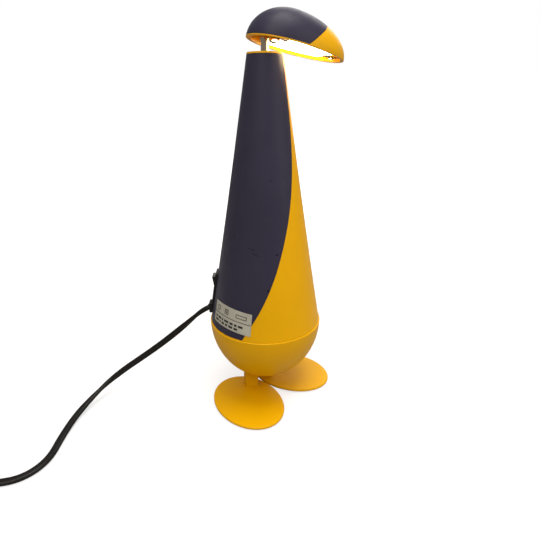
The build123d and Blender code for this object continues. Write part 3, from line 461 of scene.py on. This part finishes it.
for rib in range(RIBS):
    at = PLUG_LENGTH + 0.0010 + rib * (SLEEVE_LONG - 0.0015) / RIBS
    size = 0.0041 - 0.00014 * rib
    sections += [(at, size - 0.0006, size - 0.0006, 2.0), (at + 0.0007, size, size, 2.0),
                 (at + 0.0023, size, size, 2.0), (at + 0.0029, size - 0.0006, size - 0.0006, 2.0)]
plug = lofted("mains_plug", along_plug, sections)
plug.data.materials.append(BLACK)
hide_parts("plug_body")
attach(plug, "body")

TIE_LOW, TIE_HIGH = [Vector(corner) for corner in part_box("cord_tie")]
STRAP_THICK = 0.001
STRAP_POWER = 0.42            # how square the strap's loop is: 1 is an ellipse


def strap():
    """A flat strap round the bundle, its edges turned in a little."""
    centre = (TIE_LOW + TIE_HIGH) / 2
    half = (TIE_HIGH - TIE_LOW) / 2
    outside = [(x * half.x, edge * 0.001)
               for x, edge in ((-1.0, -0.25), (-0.93, 0.0), (0.93, 0.0), (1.0, -0.25))]
    inside = [(x, -grow * 0.4) for x, grow in reversed(outside)]
    count = 40
    verts, faces, loops = [], [], []
    for thickness, rings in ((0.0, outside), (STRAP_THICK, inside)):
        for x, grow in rings:
            loops.append(range(len(verts), len(verts) + count))
            for j in range(count):
                turn = 2 * math.pi * j / count
                c, s = math.cos(turn), math.sin(turn)
                y = math.copysign(abs(c) ** STRAP_POWER, c) * (half.y - thickness + grow)
                z = math.copysign(abs(s) ** STRAP_POWER, s) * (half.z - thickness + grow)
                verts.append(centre + Vector((x, y, z)))
    for a, b in zip(loops, loops[1:] + loops[:1]):
        for j in range(count):
            k = (j + 1) % count
            faces.append((a[j], a[k], b[k], b[j]))
    return mesh_object("cord_strap", verts, faces)


tie = strap()
tie.data.materials.append(TIE)
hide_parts("cord_tie")
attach(tie, "body")

# ---------------------------------------------------------------- floor and lights
FLOOR = 3                     # half its side
floor_corners = [(-FLOOR, -FLOOR, 0), (FLOOR, -FLOOR, 0), (FLOOR, FLOOR, 0), (-FLOOR, FLOOR, 0)]
floor = mesh_object("floor", floor_corners, [(0, 1, 2, 3)], False)
floor_material, floor_tree, floor_shader = new_material("floor_material")
floor_shader.inputs["Base Color"].default_value = (0.38, 0.37, 0.36, 1)
floor_shader.inputs["Roughness"].default_value = 0.7
floor_shader.inputs["Specular IOR Level"].default_value = 0.0
floor_shader.inputs["Emission Color"].default_value = (1.0, 1.0, 1.0, 1)
floor_place = node(floor_tree, "ShaderNodeTexCoord")
from_lamp = node(floor_tree, "ShaderNodeVectorMath", operation="LENGTH")
floor_tree.links.new(floor_place.outputs["Object"], from_lamp.inputs[0])
whiter = ramp(floor_tree, from_lamp.outputs["Value"], [(0.20, (0.66,) * 3), (0.62, (0.97,) * 3)])
floor_ray = node(floor_tree, "ShaderNodeLightPath")
floor_tree.links.new(math_node(floor_tree, "MULTIPLY", whiter, floor_ray.outputs["Is Camera Ray"]),
                     floor_shader.inputs["Emission Strength"])
floor.data.materials.append(floor_material)


def area_light(name, place, target, size, power, colour=(1, 1, 1)):
    data = bpy.data.lights.new(name, "AREA")
    data.energy, data.size, data.color = power, size, colour
    data.shape = "SQUARE"
    obj = link(bpy.data.objects.new(name, data))
    obj.location = place
    obj.rotation_euler = (Vector(target) - Vector(place)).to_track_quat("-Z", "Y").to_euler()
    return obj


area_light("key", (-0.3, -0.9, 1.2), (0, 0, 0.15), 0.8, 9, (1.0, 0.97, 0.92))
area_light("fill", (1.0, -0.5, 0.7), (0, 0, 0.15), 0.9, 4.5, (1.0, 0.96, 0.90))
area_light("back", (0.4, 1.1, 1.0), (0, 0, 0.2), 0.9, 6, (1.0, 0.98, 0.95))
area_light("top", (0.15, -0.1, 1.3), (0, 0, 0), 0.7, 12, (1.0, 0.97, 0.92))

# the world lights the lamp softly and looks plain white to the camera
world = bpy.data.worlds.new("studio")
world.use_nodes = True
world_tree = world.node_tree
sky = world_tree.nodes["Background"]
sky.inputs["Color"].default_value = (1.0, 0.99, 0.97, 1)
sky.inputs["Strength"].default_value = 0.30
backdrop = world_tree.nodes.new("ShaderNodeBackground")
backdrop.inputs["Color"].default_value = (1.0, 1.0, 1.0, 1)
seen = world_tree.nodes.new("ShaderNodeLightPath")
either = world_tree.nodes.new("ShaderNodeMixShader")
world_tree.links.new(seen.outputs["Is Camera Ray"], either.inputs[0])
world_tree.links.new(sky.outputs[0], either.inputs[1])
world_tree.links.new(backdrop.outputs[0], either.inputs[2])
world_tree.links.new(either.outputs[0], world_tree.nodes["World Output"].inputs["Surface"])
bpy.context.scene.world = world

# ---------------------------------------------------------------- finishes on the CAD nodes
# marks on the navy: heading in degrees, height and size
NICKS = [(-135.4, 0.1583, 0.0010), (-111.5, 0.1513, 0.0008), (-108.5, 0.1508, 0.0009),
         (-105.5, 0.1503, 0.0009), (-102.5, 0.1497, 0.0009), (-99.5, 0.1492, 0.0008),
         (-104.0, 0.1471, 0.0009), (-101.0, 0.1465, 0.0010), (-98.0, 0.1458, 0.0009),
         (-86.5, 0.1181, 0.0013), (-80.7, 0.1567, 0.0008), (-74.8, 0.1463, 0.0012)]
NAVY = navy()
FINISH = {
    YELLOW: ["base_bowl", "left_foot", "right_foot", "body_shell", "head_shell"],
    NAVY: ["back_cover", "head_cover"],
    BLACK: ["body_floor", "neck_bush", "strain_relief", "switch_housing", "swivel_plate"],
    ROCKER: ["switch_rocker"],
    RUBBER: ["foot_pads"],
    ZINC: ["foot_screws", "plate_screws", "floor_screws", "ballast_screw", "swivel_bolt",
           "spring_washer", "swivel_nut", "transformer_screws", "transformer_bracket",
           "tilt_bracket", "bracket_screws", "tilt_nut", "neck_clip", "clip_screws"],
    IRON: ["ballast_weight"],
    NYLON: ["thrust_washer", "friction_washers", "terminal_block"],
    CORE: ["transformer_core"],
    TAPE: ["transformer_winding"],
    BRASS: ["terminal_screws", "switch_terminals"],
    CHROME: ["neck_tube", "neck_eye", "tilt_pin", "plug_pins"],
    FILAMENT: ["bulb_pins"],
    SPRING: ["glass_clips"],
    SLEEVE: ["mains_lead", "switch_leads", "lamp_lead", "neck_lead"],
    ALUMINIUM: ["reflector"],
    CERAMIC: ["lamp_holder"],
    BULB_GLASS: ["bulb_glass"],
    PANE_GLASS: ["cover_glass"],
}
for material, names in FINISH.items():
    for name in names:
        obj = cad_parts[name]
        obj.data.materials.clear()
        obj.data.materials.append(material)


# ---------------------------------------------------------------- rating label
LABEL_HEADING, LABEL_Z, LABEL_SKEW = -129.8, 0.0908, -3.0
LABEL_WIDE, LABEL_HIGH = 0.0416, 0.0186
LABEL_R = BODY_R - 0.0026     # the body's radius at the label
CONE_REACH = 0.295            # about the way from the label up the cone's side to its apex
SLAB_PART = 0.0012            # longest flat part of a slab that follows the curve


def on_label(a, b, lift):
    """A point of the label, a across and b up from its middle, wrapped on the body."""
    skew = math.radians(LABEL_SKEW)
    across = a * math.cos(skew) - b * math.sin(skew)
    up = a * math.sin(skew) + b * math.cos(skew) - across ** 2 / (2 * CONE_REACH)
    heading = LABEL_HEADING + math.degrees(across / LABEL_R)
    return body_point(heading, LABEL_Z + up, lift)


class LabelBuilder:
    """Gathers thin closed slabs that follow the label's curve."""

    def __init__(self):
        self.verts, self.faces, self.inks = [], [], []

    def slab(self, a0, a1, b0, b1, low, high, ink):
        parts = max(1, math.ceil(abs(a1 - a0) / SLAB_PART))
        start = len(self.verts)
        for i in range(parts + 1):
            a = a0 + (a1 - a0) * (i / parts)
            for b, lift in ((b0, low), (b1, low), (b1, high), (b0, high)):
                self.verts.append(on_label(a, b, lift))
        made = []
        for i in range(parts):
            base = start + 4 * i
            for j in range(4):
                k = (j + 1) % 4
                made.append((base + j, base + k, base + 4 + k, base + 4 + j))
        made.append(tuple(range(start, start + 4)))
        made.append(tuple(start + 4 * parts + j for j in range(4)))
        self.faces += made
        self.inks += [ink] * len(made)


label_maker = LabelBuilder()
half_wide, half_high = LABEL_WIDE / 2, LABEL_HIGH / 2
PAPER_LOW, PAPER_HIGH = 0.00012, 0.00030      # from the body's side
INK_LOW, INK_HIGH, LINE = 0.00025, 0.00036, 0.00055
RULE_AT, RULE_MARGIN = -0.0003, 0.0006
label_maker.slab(-half_wide, half_wide, -half_high, half_high, PAPER_LOW, PAPER_HIGH, 0)
label_maker.slab(-half_wide + RULE_MARGIN, half_wide - RULE_MARGIN, RULE_AT, RULE_AT + LINE,
                 INK_LOW, INK_HIGH, 1)


def outline_box(left, low, wide, high):
    """A box drawn with four thin strokes."""
    for b in (low, low + high - LINE):
        label_maker.slab(left, left + wide, b, b + LINE, INK_LOW, INK_HIGH, 1)
    for a in (left, left + wide - LINE):
        label_maker.slab(a, a + LINE, low, low + high, INK_LOW, INK_HIGH, 1)


outline_box(-0.0165, 0.0024, 0.0040, 0.0040)
outline_box(-0.0060, 0.0022, 0.0044, 0.0044)
outline_box(-0.0049, 0.0033, 0.0022, 0.0022)
outline_box(0.0065, 0.0028, 0.0100, 0.0032)
DASH_START, DASH_UNIT, DASH_GAP = -0.0178, 0.00085, 0.0013
# rows of dashes in place of print: height on the label, thickness, lengths in units
DASHES = [(-0.0046, 0.0018, (3, 5, 2, 6, 4, 3, 5)), (-0.0076, 0.0017, (6, 2, 4, 3, 5, 4))]
for low, tall, lengths in DASHES:
    at = DASH_START
    for units in lengths:
        wide = units * DASH_UNIT
        label_maker.slab(at, at + wide, low, low + tall, INK_LOW, INK_HIGH, 1)
        at += wide + DASH_GAP
label = mesh_object("label_sheet", label_maker.verts, label_maker.faces, False)
paper = plastic("label_paper", (0.40, 0.38, 0.31), 0.10, (0.6, 0.75), grain=900, blotch=60, specular=0.2)
ink = plastic("label_ink", (0.020, 0.019, 0.018), 0.1, (0.5, 0.6), specular=0.2)
label.data.materials.append(paper)
label.data.materials.append(ink)
label.data.polygons.foreach_set("material_index", label_maker.inks)
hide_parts("rating_label")
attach(label, "body")
